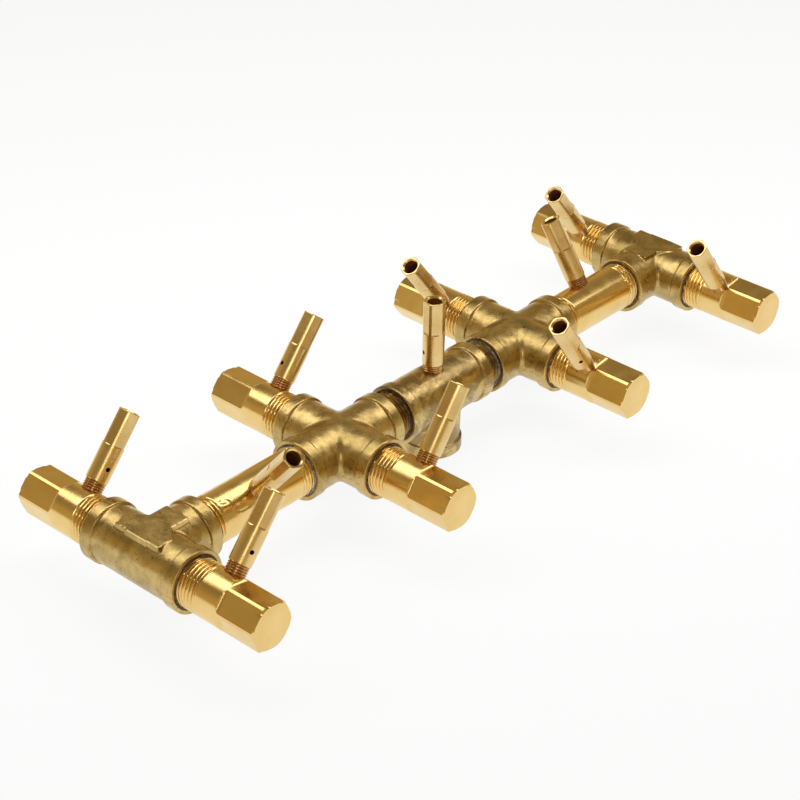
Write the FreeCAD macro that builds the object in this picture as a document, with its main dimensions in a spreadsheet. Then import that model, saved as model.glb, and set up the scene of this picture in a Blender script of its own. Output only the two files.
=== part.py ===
import FreeCAD, Part
import math
import os

import Sketcher

# A linear "tree" gas burner made up from half-inch brass pipe fittings.
# Frame: the spine runs along X, the arms along Y, +Z is up, millimetres.
# The origin is the middle of the gas inlet's mouth, which faces down.

DIMENSIONS = [
    # pipe and pipe thread
    ("pipe_diameter", 21.34, "outside of half-inch pipe"),
    ("pipe_bore", 15.8, "inside of half-inch pipe"),
    ("thread_pitch", 1.814, "14 turns to the inch"),
    ("thread_depth", 1.1, "depth of a thread groove"),
    ("thread_clearance", 0.15, "radial gap between crest and socket wall"),
    ("engagement", 12.5, "length of pipe thread inside a fitting"),
    ("arm_turns", 12, "thread turns on an arm"),
    ("spine_turns", 10, "thread turns on each end of a spine nipple"),
    # fittings
    ("reach", 26.2, "centre of a fitting to the face of a port"),
    ("fitting_wall", 1.93, "wall of a fitting outside the pipe's radius"),
    ("collar_wall", 2.78, "the same at the band around each port"),
    ("collar_width", 5.6, "length of that band"),
    ("collar_bevel", 0.9, "bevels of the band"),
    ("core_bore", 18.0, "passage through the middle of a fitting"),
    ("socket_depth", 14.0, "tapped depth of a port"),
    ("mouth_bevel", 1.0, "countersink of a port"),
    ("pad_rise", 0.15, "height of the forging pad above the body"),
    ("pad_back", 6.6, "pad edge behind the run axis"),
    ("pad_half_length", 12.3, "half of the pad along the run"),
    ("pad_half_width", 6.2, "half of the pad along the branch"),
    ("pad_front", 15.0, "pad edge along the branch"),
    ("pad_inset", 1.2, "how far the pad's ends slope inward"),
    # layout along the spine
    ("close_gap", 6.2, "bare thread between the centre tee and a cross"),
    ("front_gap", 53.7, "bare pipe between the front tee and its cross"),
    ("rear_gap", 48.9, "bare pipe between the rear tee and its cross"),
    ("arm_tip_distance", 66.4, "spine axis to the end of an arm"),
    # arms
    ("flat_spacing", 19.05, "across the spanner flats of an arm"),
    ("flat_length", 18.0, "length of those flats"),
    ("arm_bevel", 0.55, "bevel around the end of an arm"),
    ("arm_floor", 8.0, "solid metal at the closed end"),
    # jets
    ("jet_diameter", 9.5, "body of a jet"),
    ("jet_body_length", 30.4, "body of a jet"),
    ("jet_stem_diameter", 8.9, "threaded stem"),
    ("jet_stem_length", 6.9, "threaded stem"),
    ("jet_stem_show", 3.8, "stem seen between an arm and the jet body"),
    ("jet_centre_show", 2.7, "stem seen above the centre tee"),
    ("jet_pitch", 1.058, "24 turns to the inch"),
    ("jet_groove", 0.55, "depth of a stem thread groove"),
    ("jet_turns", 6, "thread turns on the stem"),
    ("jet_clearance", 0.08, "radial gap around the stem in its hole"),
    ("jet_bore", 6.2, "mixing bore"),
    ("jet_rim_bevel", 0.65, "bevel of the bore's mouth"),
    ("jet_flat_spacing", 8.8, "across the spanner flats of a jet"),
    ("jet_flat_length", 14.4, "length of those flats"),
    ("jet_edge", 0.25, "small bevels on the jet body"),
    ("feed_bore", 4.0, "drilling in the foot of the stem"),
    ("feed_depth", 4.4, "depth of that drilling"),
    ("orifice_diameter", 1.2, "gas orifice"),
    ("orifice_length", 1.6, "gas orifice"),
    ("air_hole", 1.9, "primary air hole"),
    ("air_hole_height", 6.0, "air hole above the foot of the jet body"),
    # where each arm is drilled for its jet, from the spine axis
    ("drill_front_tee_left", 40.8, "arm hole"),
    ("drill_front_tee_right", 40.2, "arm hole"),
    ("drill_front_cross_left", 41.4, "arm hole"),
    ("drill_front_cross_right", 42.6, "arm hole"),
    ("drill_rear_cross_left", 41.0, "arm hole"),
    ("drill_rear_cross_right", 42.0, "arm hole"),
    ("drill_rear_tee_left", 39.6, "arm hole"),
    ("drill_rear_tee_right", 42.2, "arm hole"),
    # how far each jet leans from upright, degrees
    ("lean_front_tee_left", 39.5, "toward the centre"),
    ("lean_front_tee_right", 39.3, "toward the centre"),
    ("lean_front_cross_left", 39.1, "toward the centre"),
    ("lean_front_cross_right", 34.9, "toward the centre"),
    ("lean_rear_cross_left", 38.7, "toward the centre"),
    ("lean_rear_cross_right", 35.9, "toward the centre"),
    ("lean_rear_tee_left", 39.2, "toward the centre"),
    ("lean_rear_tee_right", 37.8, "toward the centre"),
    ("lean_front_spine", 40.5, "toward the right"),
    ("lean_rear_spine", 23.8, "toward the left"),
    ("tilt_front_spine", -3.8, "along the spine, toward the front"),
    ("tilt_rear_spine", -10.8, "along the spine, toward the front"),
    # where each air hole looks: degrees about the jet, from the object's right
    # side for the arm jets and the centre jet, from its front for the nipple jets
    ("turn_front_tee_left", -20, "air hole"),
    ("turn_front_tee_right", -23, "air hole"),
    ("turn_front_cross_left", -104, "air hole"),
    ("turn_front_cross_right", 103, "air hole"),
    ("turn_rear_cross_left", 139, "air hole"),
    ("turn_rear_cross_right", -34, "air hole"),
    ("turn_rear_tee_left", 133, "air hole"),
    ("turn_rear_tee_right", 127, "air hole"),
    ("turn_nipple_front", -111, "air hole"),
    ("turn_nipple_rear", -156, "air hole"),
    ("turn_centre", -112, "air hole"),
    # thread sealant left in the port mouths
    ("sealant_gap", 0.02, "keeps the bead off the metal"),
    ("sealant_proud", 0.4, "bead standing out of the mouth"),
]

doc = FreeCAD.newDocument("burner")
sheet = doc.addObject("Spreadsheet::Sheet", "Dims")
for row, (alias, value, note) in enumerate(DIMENSIONS, start=1):
    sheet.set("A%d" % row, alias)
    sheet.set("B%d" % row, str(value))
    sheet.setAlias("B%d" % row, alias)
    sheet.set("C%d" % row, note)
doc.recompute()


class Size:
    """A number together with the sheet formula that gives it."""

    def __init__(self, number, formula):
        self.number = float(number)
        self.formula = formula

    def __add__(self, other):
        other = as_size(other)
        return Size(self.number + other.number, "(%s + %s)" % (self.formula, other.formula))

    def __sub__(self, other):
        other = as_size(other)
        return Size(self.number - other.number, "(%s - %s)" % (self.formula, other.formula))

    def __mul__(self, factor):
        return Size(self.number * factor, "(%s * %s)" % (self.formula, factor))

    def __truediv__(self, factor):
        return Size(self.number / factor, "(%s / %s)" % (self.formula, factor))

    def __neg__(self):
        return Size(-self.number, "(0 - %s)" % self.formula)


def as_size(value):
    """A Size as it is, or a plain number made into one."""
    return value if isinstance(value, Size) else Size(value, str(value))


def dim(alias):
    """The sheet's value under this name."""
    return Size(sheet.get(alias), "Dims." + alias)


ZERO = as_size(0)
PIPE_RADIUS = dim("pipe_diameter") / 2
FITTING_RADIUS = PIPE_RADIUS + dim("fitting_wall")
SOCKET_RADIUS = PIPE_RADIUS + dim("thread_clearance")
REACH = dim("reach")
HEXAGON = 60.0  # degrees from one spanner flat to the next
X, Y, Z = FreeCAD.Vector(1, 0, 0), FreeCAD.Vector(0, 1, 0), FreeCAD.Vector(0, 0, 1)
SPINE_HEIGHT = REACH.number
subparts = []


def bind(thing, prop, size):
    """Sets a property and ties it to the sheet."""
    setattr(thing, prop, size.number)
    thing.setExpression(prop, size.formula)


def new_body(label):
    """An empty sub-part with the node's name."""
    body = doc.addObject("PartDesign::Body", "Body_" + label)
    body.Label = label
    subparts.append(body)
    return body


def origin_feature(body, role):
    """One of the body's own origin planes or axes."""
    return next(item for item in body.Origin.OriginFeatures if item.Role == role)


def new_sketch(body, name, plane):
    sketch = body.newObject("Sketcher::SketchObject", name)
    sketch.AttachmentSupport = [(origin_feature(body, plane), "")]
    sketch.MapMode = "FlatFace"
    return sketch


def roll_sketch(sketch, degrees):
    """Turns a sketch about its own horizontal axis, which is the piece's axis."""
    sketch.AttachmentOffset = FreeCAD.Placement(FreeCAD.Vector(), FreeCAD.Rotation(X, degrees))


def tip_sketch(sketch, along, degrees):
    """Slides a sketch along the piece and tips it about its own vertical axis."""
    lean = FreeCAD.Rotation(Y, degrees)
    sketch.AttachmentOffset = FreeCAD.Placement(FreeCAD.Vector(along.number, 0, 0), lean)
    sketch.setExpression("AttachmentOffset.Base.x", along.formula)


def hold(sketch, geometry, point, kind, size):
    """Dimensions a point from the sketch's origin along one axis."""
    if abs(size.number) < 1e-9:
        axis = -2 if kind == "DistanceX" else -1
        sketch.addConstraint(Sketcher.Constraint("PointOnObject", geometry, point, axis))
        return
    if size.number > 0:
        rule = Sketcher.Constraint(kind, -1, 1, geometry, point, size.number)
    else:
        size = -size
        rule = Sketcher.Constraint(kind, geometry, point, -1, 1, size.number)
    index = sketch.addConstraint(rule)
    sketch.setExpression("Constraints[%d]" % index, size.formula)


def outline(body, name, plane, corners):
    """A closed outline with every corner dimensioned from the sheet."""
    sketch = new_sketch(body, name, plane)
    corners = [(as_size(across), as_size(up)) for across, up in corners]
    places = [FreeCAD.Vector(across.number, up.number, 0) for across, up in corners]
    count = len(places)
    for i in range(count):
        sketch.addGeometry(Part.LineSegment(places[i], places[(i + 1) % count]), False)
    for i in range(count):
        sketch.addConstraint(Sketcher.Constraint("Coincident", i, 2, (i + 1) % count, 1))
    for i, (across, up) in enumerate(corners):
        hold(sketch, i, 1, "DistanceX", across)
        hold(sketch, i, 1, "DistanceY", up)
    return sketch


def round_hole(body, name, plane, across, radius):
    """A circle on the sketch's horizontal axis."""
    sketch = new_sketch(body, name, plane)
    centre = FreeCAD.Vector(across.number, 0, 0)
    sketch.addGeometry(Part.Circle(centre, FreeCAD.Vector(0, 0, 1), radius.number), False)
    hold(sketch, 0, 3, "DistanceX", across)
    hold(sketch, 0, 3, "DistanceY", ZERO)
    index = sketch.addConstraint(Sketcher.Constraint("Radius", 0, radius.number))
    sketch.setExpression("Constraints[%d]" % index, radius.formula)
    return sketch


def turn(body, kind, name, sketch):
    """Revolves or grooves an outline about the piece's long axis."""
    feature = body.newObject("PartDesign::" + kind, name)
    feature.Profile = sketch
    feature.ReferenceAxis = (sketch, ["H_Axis"])
    feature.Angle = 360
    body.Tip = feature
    return feature


def cut_up(body, name, sketch, length):
    """Pockets from the middle plane outward through the top wall only."""
    feature = body.newObject("PartDesign::Pocket", name)
    feature.Profile = sketch
    bind(feature, "Length", length)
    feature.Reversed = True
    body.Tip = feature
    return feature


def cut_across(body, name, sketch, length):
    """Pockets both ways from the middle plane."""
    feature = body.newObject("PartDesign::Pocket", name)
    feature.Profile = sketch
    bind(feature, "Length", length)
    feature.Midplane = True
    body.Tip = feature
    return feature


def repeat_round(body, name, original, role, count, angle=360):
    pattern = body.newObject("PartDesign::PolarPattern", name)
    pattern.Originals = [original]
    pattern.Axis = (origin_feature(body, role), [""])
    pattern.Angle = angle
    pattern.Occurrences = count
    body.Tip = pattern


def repeat_along(body, name, original, pitch, count):
    pattern = body.newObject("PartDesign::LinearPattern", name)
    pattern.Originals = [original]
    pattern.Direction = (origin_feature(body, "X_Axis"), [""])
    bind(pattern, "Length", pitch * (count - 1))
    pattern.Occurrences = count
    body.Tip = pattern


def cut_thread(body, name, start, radius, depth, pitch, count):
    """V grooves at the thread's pitch."""
    half = pitch * 0.42
    sketch = outline(body, name + "_vee", "XY_Plane", [
        (start, radius - depth),
        (start + half, radius + 0.05),
        (start - half, radius + 0.05),
    ])
    groove = turn(body, "Groove", name, sketch)
    repeat_along(body, name + "s", groove, pitch, count)


def place(body, origin, along, up):
    """Puts the piece's X on one direction and its Z on another."""
    side = up.cross(along)
    turned = FreeCAD.Rotation(along, side, up, "XZY")
    body.Placement = FreeCAD.Placement(origin, turned)


def fitting(label, x_position, turn_degrees, ports, inlet_down=False):
    """A cross or a tee: ports in one plane, with collars and tapped sockets."""
    body = new_body(label)
    collar_radius = PIPE_RADIUS + dim("collar_wall")
    bevel = dim("collar_bevel")
    collar_start = REACH - dim("collar_width")
    span = 360 if ports == 4 else 180
    port = turn(body, "Revolution", "Port", outline(body, "Port_outline", "XY_Plane", [
        (ZERO, ZERO),
        (ZERO, FITTING_RADIUS),
        (collar_start, FITTING_RADIUS),
        (collar_start + bevel / 2, collar_radius),
        (REACH - bevel, collar_radius),
        (REACH, collar_radius - bevel),
        (REACH, ZERO),
    ]))
    repeat_round(body, "Ports", port, "Z_Axis", ports, span)
    if ports == 3 and not inlet_down:
        forging_pad(body)
    mouth = dim("mouth_bevel")
    socket_end = REACH - dim("socket_depth")
    core = dim("core_bore") / 2
    bore = turn(body, "Groove", "Bore", outline(body, "Bore_outline", "XY_Plane", [
        (ZERO, ZERO),
        (ZERO, core),
        (socket_end, core),
        (socket_end + 1.0, SOCKET_RADIUS),
        (REACH - mouth, SOCKET_RADIUS),
        (REACH, SOCKET_RADIUS + mouth),
        (REACH, ZERO),
    ]))
    repeat_round(body, "Bores", bore, "Z_Axis", ports, span)
    turned = FreeCAD.Rotation(Z, turn_degrees)
    if inlet_down:
        # the middle port becomes the inlet, and the jet is tapped in opposite it
        tap = round_hole(body, "Jet_tap_circle", "XZ_Plane", ZERO, jet_hole_radius())
        drill = body.newObject("PartDesign::Pocket", "Jet_tap")
        drill.Profile = tap
        bind(drill, "Length", FITTING_RADIUS + 1)
        drill.Reversed = True
        body.Tip = drill
        turned = FreeCAD.Rotation(X, -Z, Y, "XYZ")
    body.Placement = FreeCAD.Placement(FreeCAD.Vector(x_position, 0, SPINE_HEIGHT), turned)
    return body


def forging_pad(body):
    """The flat T-shaped pad that the dies leave on top of a tee."""
    back, front = dim("pad_back"), dim("pad_front")
    length, width = dim("pad_half_length"), dim("pad_half_width")
    inset = dim("pad_inset")
    # the branch of a tee is its middle port, along the sketch's vertical axis
    sketch = outline(body, "Pad_outline", "XY_Plane", [
        (-length, -back),
        (length, -back),
        (length - inset, -back / 4),
        (width, width),
        (width, front),
        (-width, front),
        (-width, width),
        (-(length - inset), -back / 4),
    ])
    pad = body.newObject("PartDesign::Pad", "Forging_pad")
    pad.Profile = sketch
    bind(pad, "Length", FITTING_RADIUS + dim("pad_rise"))
    body.Tip = pad


def jet_hole_radius():
    return dim("jet_stem_diameter") / 2 + dim("jet_clearance")


def arm(label, x_position, side, drilled_at, lean):
    """A closed pipe stub: threaded inner end, spanner flats at the outer end."""
    body = new_body(label)
    inner_end = REACH - dim("engagement")
    length = dim("arm_tip_distance") - inner_end
    bevel = dim("arm_bevel")
    turn(body, "Revolution", "Bar", outline(body, "Bar_outline", "XY_Plane", [
        (ZERO, ZERO),
        (ZERO, PIPE_RADIUS - 0.6),
        (as_size(0.6), PIPE_RADIUS),
        (length - bevel, PIPE_RADIUS),
        (length, PIPE_RADIUS - bevel),
        (length, ZERO),
    ]))
    cut_thread(body, "Thread", dim("thread_pitch"), PIPE_RADIUS, dim("thread_depth"),
               dim("thread_pitch"), int(dim("arm_turns").number))
    bore_pipe(body, length - dim("arm_floor"))
    flat = dim("flat_spacing") / 2
    start = length - dim("flat_length")
    rise = PIPE_RADIUS + 0.5 - flat
    flat_outline = outline(body, "Flat_outline", "XZ_Plane", [
        (start + rise / 2, flat),
        (length + 1, flat),
        (length + 1, flat + rise),
        (start, flat + rise),
    ])
    # the jet stands in line with a corner between two flats
    roll_sketch(flat_outline, HEXAGON / 2)
    faced = cut_across(body, "Flat", flat_outline, dim("pipe_diameter"))
    repeat_round(body, "Flats", faced, "X_Axis", 6)
    tap = round_hole(body, "Jet_hole_circle", "XY_Plane", drilled_at - inner_end, jet_hole_radius())
    cut_up(body, "Jet_hole", tap, PIPE_RADIUS + 1)
    origin = FreeCAD.Vector(x_position, side * inner_end.number, SPINE_HEIGHT)
    up = FreeCAD.Vector(math.sin(lean), 0, math.cos(lean))
    place(body, origin, Y * side, up)


def bore_pipe(body, depth):
    radius = dim("pipe_bore") / 2
    turn(body, "Groove", "Bore", outline(body, "Bore_outline", "XY_Plane", [
        (ZERO, ZERO),
        (ZERO, radius),
        (depth, radius),
        (depth, ZERO),
    ]))


def nipple(label, start_x, length, turns, jet_lean=None, jet_tilt=0):
    """A pipe nipple along the spine, threaded from both ends.

    jet_lean turns its jet's hole around the pipe, jet_tilt tips it along the pipe."""
    body = new_body(label)
    turn(body, "Revolution", "Tube", outline(body, "Tube_outline", "XY_Plane", [
        (ZERO, ZERO),
        (ZERO, PIPE_RADIUS - 0.6),
        (as_size(0.6), PIPE_RADIUS),
        (length - 0.6, PIPE_RADIUS),
        (length, PIPE_RADIUS - 0.6),
        (length, ZERO),
    ]))
    pitch = dim("thread_pitch")
    depth = dim("thread_depth")
    cut_thread(body, "Thread", pitch, PIPE_RADIUS, depth, pitch, turns)
    if jet_lean is not None:
        far_start = length - pitch * turns
        cut_thread(body, "Far_thread", far_start, PIPE_RADIUS, depth, pitch, turns)
    bore_pipe(body, length)
    up = Z
    if jet_lean is not None:
        tap = round_hole(body, "Jet_hole_circle", "XY_Plane", ZERO, jet_hole_radius())
        tip_sketch(tap, length / 2, jet_tilt)
        cut_up(body, "Jet_hole", tap, PIPE_RADIUS + 2)
        up = FreeCAD.Vector(0, math.sin(jet_lean), math.cos(jet_lean))
    place(body, FreeCAD.Vector(start_x, 0, SPINE_HEIGHT), X, up)


def jet(label, root, direction, facing, foot_distance):
    """A turned jet: threaded stem, orifice, mixing bore, air hole and flats.

    root is a point on the host's axis, direction the way that the jet points,
    facing the side that its air hole looks to, and foot_distance how far the
    foot of its body stands from root."""
    body = new_body(label)
    stem = dim("jet_stem_length")
    total = stem + dim("jet_body_length")
    stem_radius = dim("jet_stem_diameter") / 2
    radius = dim("jet_diameter") / 2
    edge = dim("jet_edge")
    turn(body, "Revolution", "Turned", outline(body, "Turned_outline", "XY_Plane", [
        (ZERO, ZERO),
        (ZERO, stem_radius - 0.3),
        (as_size(0.3), stem_radius),
        (stem, stem_radius),
        (stem, radius - edge),
        (stem + edge, radius),
        (total - edge, radius),
        (total, radius - edge),
        (total, ZERO),
    ]))
    cut_thread(body, "Thread", dim("jet_pitch"), stem_radius, dim("jet_groove"),
               dim("jet_pitch"), int(dim("jet_turns").number))
    feed_depth = dim("feed_depth")
    bore_start = feed_depth + dim("orifice_length")
    bore_radius = dim("jet_bore") / 2
    orifice = dim("orifice_diameter") / 2
    rim = dim("jet_rim_bevel")
    turn(body, "Groove", "Passage", outline(body, "Passage_outline", "XY_Plane", [
        (ZERO, ZERO),
        (ZERO, dim("feed_bore") / 2),
        (feed_depth, dim("feed_bore") / 2),
        (feed_depth, orifice),
        (bore_start, orifice),
        (bore_start + bore_radius - orifice, bore_radius),
        (total - rim, bore_radius),
        (total, bore_radius + rim),
        (total, ZERO),
    ]))
    flat = dim("jet_flat_spacing") / 2
    start = total - dim("jet_flat_length")
    rise = radius + 0.3 - flat
    faced = cut_across(body, "Flat", outline(body, "Flat_outline", "XZ_Plane", [
        (start + rise / 2, flat),
        (total + 1, flat),
        (total + 1, flat + rise),
        (start, flat + rise),
    ]), dim("jet_diameter"))
    repeat_round(body, "Flats", faced, "X_Axis", 6)
    air = round_hole(body, "Air_hole_circle", "XY_Plane", stem + dim("air_hole_height"),
                     dim("air_hole") / 2)
    cut_up(body, "Air_hole", air, radius + 1)
    place(body, root + direction * (foot_distance - stem.number), direction, facing)


def sealant(label, centre, ports):
    """Beads of set thread sealant, one ring in the mouth of each port."""
    gap, proud, mouth = dim("sealant_gap"), dim("sealant_proud"), dim("mouth_bevel")
    rings = []
    for index, outward in enumerate(ports):
        name = "%s_%d" % (label, index + 1)
        cone = doc.addObject("Part::Cone", "Bead_" + name)
        bind(cone, "Radius1", SOCKET_RADIUS - gap)
        bind(cone, "Radius2", SOCKET_RADIUS - gap + mouth + proud)
        bind(cone, "Height", mouth + proud)
        pipe = doc.addObject("Part::Cylinder", "Pipe_" + name)
        bind(pipe, "Radius", PIPE_RADIUS + gap)
        bind(pipe, "Height", mouth + proud)
        ring = doc.addObject("Part::Cut", "Ring_" + name)
        ring.Base = cone
        ring.Tool = pipe
        foot = centre + outward * (REACH.number - mouth.number)
        ring.Placement = FreeCAD.Placement(foot, FreeCAD.Rotation(Z, outward))
        rings.append(ring)
    group = doc.addObject("Part::Compound", "Group_" + label)
    group.Links = rings
    group.Label = label
    subparts.append(group)


def around(direction, start, degrees):
    """start turned about direction."""
    return FreeCAD.Rotation(direction, degrees).multVec(start)


# fittings along the spine: name, place, ports taken by pipe
cross_distance = REACH * 2 + dim("close_gap")
front_distance = cross_distance + REACH * 2 + dim("front_gap")
rear_distance = cross_distance + REACH * 2 + dim("rear_gap")
cross_x = cross_distance.number
front_x = -front_distance.number
rear_x = rear_distance.number
stations = {
    "front_tee": (front_x, [X, Y, -Y]),
    "front_cross": (-cross_x, [X, -X, Y, -Y]),
    "centre_tee": (0.0, [X, -X]),
    "rear_cross": (cross_x, [X, -X, Y, -Y]),
    "rear_tee": (rear_x, [-X, Y, -Y]),
}
fitting("front_tee", front_x, -90, 3)
fitting("front_cross", -cross_x, 0, 4)
fitting("centre_tee", 0.0, 0, 3, inlet_down=True)
fitting("rear_cross", cross_x, 0, 4)
fitting("rear_tee", rear_x, 90, 3)

# arms and their jets; left is +Y, right is -Y, and every arm jet leans to the centre
foot_on_pipe = (PIPE_RADIUS + dim("jet_stem_show")).number
for station in ("front_tee", "front_cross", "rear_cross", "rear_tee"):
    x_position = stations[station][0]
    toward_centre = 1 if x_position < 0 else -1
    for side, hand in ((1, "left"), (-1, "right")):
        name = station + "_" + hand
        drilled_at = dim("drill_" + name)
        lean = toward_centre * math.radians(dim("lean_" + name).number)
        arm("arm_" + name, x_position, side, drilled_at, lean)
        root = FreeCAD.Vector(x_position, side * drilled_at.number, SPINE_HEIGHT)
        direction = FreeCAD.Vector(math.sin(lean), 0, math.cos(lean))
        facing = around(direction, -Y, dim("turn_" + name).number)
        jet("jet_" + name, root, direction, facing, foot_on_pipe)

# nipples along the spine
spine_turns = int(dim("spine_turns").number)
overlap = REACH - dim("engagement")
for label, near, far, toward_left in (
    ("front", -front_distance, -cross_distance, -1),
    ("rear", cross_distance, rear_distance, 1),
):
    lean = toward_left * math.radians(dim("lean_" + label + "_spine").number)
    tilt = dim("tilt_" + label + "_spine").number
    start = near + overlap
    length = far - near - overlap * 2
    nipple("nipple_" + label, start.number, length, spine_turns, lean, tilt)
    root = FreeCAD.Vector(start.number + length.number / 2, 0, SPINE_HEIGHT)
    upright = FreeCAD.Vector(0, math.sin(lean), math.cos(lean))
    direction = around(upright.cross(X), upright, tilt)
    facing = around(upright.cross(X), -X, tilt)
    air_turn = dim("turn_nipple_" + label).number
    jet("jet_nipple_" + label, root, direction, around(direction, facing, air_turn), foot_on_pipe)

close_length = cross_distance - overlap * 2
close_turns = int(close_length.number / dim("thread_pitch").number) - 1
for label, start in (("front", overlap.number - cross_x), ("rear", overlap.number)):
    nipple("close_nipple_" + label, start, close_length, close_turns)

# the upright jet on the centre tee
foot_on_tee = (FITTING_RADIUS + dim("jet_centre_show")).number
centre_facing = around(Z, -Y, dim("turn_centre").number)
jet("jet_centre", FreeCAD.Vector(0, 0, SPINE_HEIGHT), Z, centre_facing, foot_on_tee)

for station, (x_position, ports) in stations.items():
    sealant("sealant_" + station, FreeCAD.Vector(x_position, 0, SPINE_HEIGHT), ports)

doc.recompute()

faults = []
for item in doc.Objects:
    if "Invalid" in item.State or "Error" in item.State:
        faults.append(item.Name + " " + str(item.State))
for item in subparts:
    if item.Shape.isNull() or not item.Shape.isValid():
        faults.append(item.Label + " has no valid shape")
if faults:
    raise RuntimeError("; ".join(faults))

os.makedirs("parts", exist_ok=True)
for item in subparts:
    item.Shape.exportStep("parts/%s.step" % item.Label)
print("wrote", len(subparts), "sub-parts")
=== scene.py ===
# %% [markdown]
# # A linear gas burner made up from brass pipe fittings
#
# The burner is a row of five brass fittings, joined by pipe nipples, with eight
# closed arms, and with a slanted jet screwed into every arm and nipple. Gas comes
# in at the port under the middle tee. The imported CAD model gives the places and
# sizes of all of it. This script gives the pieces their real surfaces: soft-cornered
# forgings, cut threads, milled flats, and brass in several states of wear.

# %% Load the frame
import math

import bmesh
import bpy
import numpy as np
from mathutils import Matrix, Vector


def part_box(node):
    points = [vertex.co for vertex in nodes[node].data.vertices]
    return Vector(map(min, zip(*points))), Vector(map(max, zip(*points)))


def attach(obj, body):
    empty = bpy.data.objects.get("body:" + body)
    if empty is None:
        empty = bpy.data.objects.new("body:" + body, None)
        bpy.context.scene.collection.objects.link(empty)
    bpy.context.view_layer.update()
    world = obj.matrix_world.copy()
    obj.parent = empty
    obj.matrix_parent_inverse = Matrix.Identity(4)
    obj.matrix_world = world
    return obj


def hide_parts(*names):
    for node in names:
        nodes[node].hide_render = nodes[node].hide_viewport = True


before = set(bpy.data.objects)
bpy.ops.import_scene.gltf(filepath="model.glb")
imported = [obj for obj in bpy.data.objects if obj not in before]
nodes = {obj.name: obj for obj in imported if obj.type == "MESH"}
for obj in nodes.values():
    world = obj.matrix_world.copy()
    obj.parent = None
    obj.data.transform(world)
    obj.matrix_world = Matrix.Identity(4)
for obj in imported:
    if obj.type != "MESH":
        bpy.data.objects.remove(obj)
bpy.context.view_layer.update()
print("CAD nodes:", len(nodes))

# %% [markdown]
# ## Working units and the sizes that all pieces share
#
# Pipe fittings are drawn in millimetres, so every mesh below is worked out in
# millimetres and only scaled to metres when it is made. The sizes are those of
# half-inch pipe. Places come from the CAD nodes' own boxes, so a piece lands
# where the CAD has it.

# %% Shared sizes
MM = 0.001
PIPE_R = 21.34 / 2
PIPE_BORE_R = 15.8 / 2
PIPE_PITCH = 1.814
REACH = 26.2
ENGAGED = 12.5
SOCKET_R = PIPE_R + 0.15
SHARP_DEGREES = 18
HEX = math.radians(60)


def node_box(name):
    """A CAD node's lowest and highest corners in millimetres."""
    low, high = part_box(name)
    return np.array(low) / MM, np.array(high) / MM


def node_middle(name):
    low, high = node_box(name)
    return (low + high) / 2


SPINE_Z = node_middle("arm_front_tee_left")[2]
print("spine height %.2f mm" % SPINE_Z)

# %% [markdown]
# ## Meshes made ring by ring
#
# Arms, nipples and jets are all turned from bar. Such a piece can be drawn as a
# stack of rings along its axis, where each ring's radius may change with the
# angle. That is enough for a true helical thread, for milled flats and for a bore,
# and it keeps the mesh regular, so highlights run along the metal without a wobble.

# %% Ring meshes
def frame_matrix(origin, along, up):
    """Places a piece that was drawn along X, with its top toward Z."""
    along, up = Vector(along).normalized(), Vector(up)
    up = (up - along * up.dot(along)).normalized()
    side = up.cross(along)
    turned = Matrix((along, side, up)).transposed().to_4x4()
    return Matrix.Translation(Vector(origin) * MM) @ turned


def make_object(name, points, faces, matrix, smooth_degrees=SHARP_DEGREES):
    """A mesh object from millimetre points, smooth except at real edges."""
    mesh = bpy.data.meshes.new(name)
    mesh.from_pydata([tuple(p) for p in np.asarray(points) * MM], [], faces)
    cleaned = bmesh.new()
    cleaned.from_mesh(mesh)
    bmesh.ops.recalc_face_normals(cleaned, faces=cleaned.faces)
    cleaned.to_mesh(mesh)
    cleaned.free()
    mesh.shade_smooth()
    mesh.set_sharp_from_angle(angle=math.radians(smooth_degrees))
    piece = bpy.data.objects.new(name, mesh)
    bpy.context.scene.collection.objects.link(piece)
    piece.matrix_world = matrix
    return piece


def ring(x, radius, angles):
    """One ring: x and radius may be numbers or change with the angle."""
    x = np.broadcast_to(x, angles.shape)
    return np.stack([x, radius * np.cos(angles), radius * np.sin(angles)], axis=1)


def ring_faces(ring_count, columns):
    """Quads between neighbouring rings and a fan at each end."""
    faces = []
    for i in range(ring_count - 1):
        for j in range(columns):
            k = (j + 1) % columns
            near, far = i * columns, (i + 1) * columns
            faces.append((near + j, near + k, far + k, far + j))
    first, last = ring_count * columns, ring_count * columns + 1
    end = (ring_count - 1) * columns
    for j in range(columns):
        k = (j + 1) % columns
        faces.append((first, k, j))
        faces.append((last, end + j, end + k))
    return faces


def ring_piece(name, rings, matrix):
    rings = np.array(rings)
    count, columns = rings.shape[:2]
    middles = [rings[0].mean(axis=0), rings[-1].mean(axis=0)]
    points = np.concatenate([rings.reshape(-1, 3), middles])
    return make_object(name, points, ring_faces(count, columns), matrix)


def hex_columns(half_flat, per_flat, per_strip):
    """Angles that put mesh edges on the edges of six flats."""
    flat = np.linspace(-half_flat, half_flat, per_flat, endpoint=False)
    strip = np.linspace(half_flat, HEX - half_flat, per_strip, endpoint=False)
    sector = np.concatenate([flat, strip])
    return np.concatenate([sector + math.radians(60 * k) for k in range(6)])


GROOVE_SHARE = 0.66  # of a turn; the rest is the flat crest


def thread_cut(x, angles, start, end, pitch, depth, fade=1.2):
    """How deep a helical V groove is below the crest, dying out at its end."""
    phase = np.mod(x / pitch - angles / (2 * math.pi), 1.0)
    vee = np.clip(1 - np.abs(2 * phase - 1) / GROOVE_SHARE, 0, 1)
    fading = fade * pitch
    strength = np.clip((end - x) / fading, 0, 1) * np.clip((x - start) / fading, 0, 1)
    return depth * vee * strength


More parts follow.
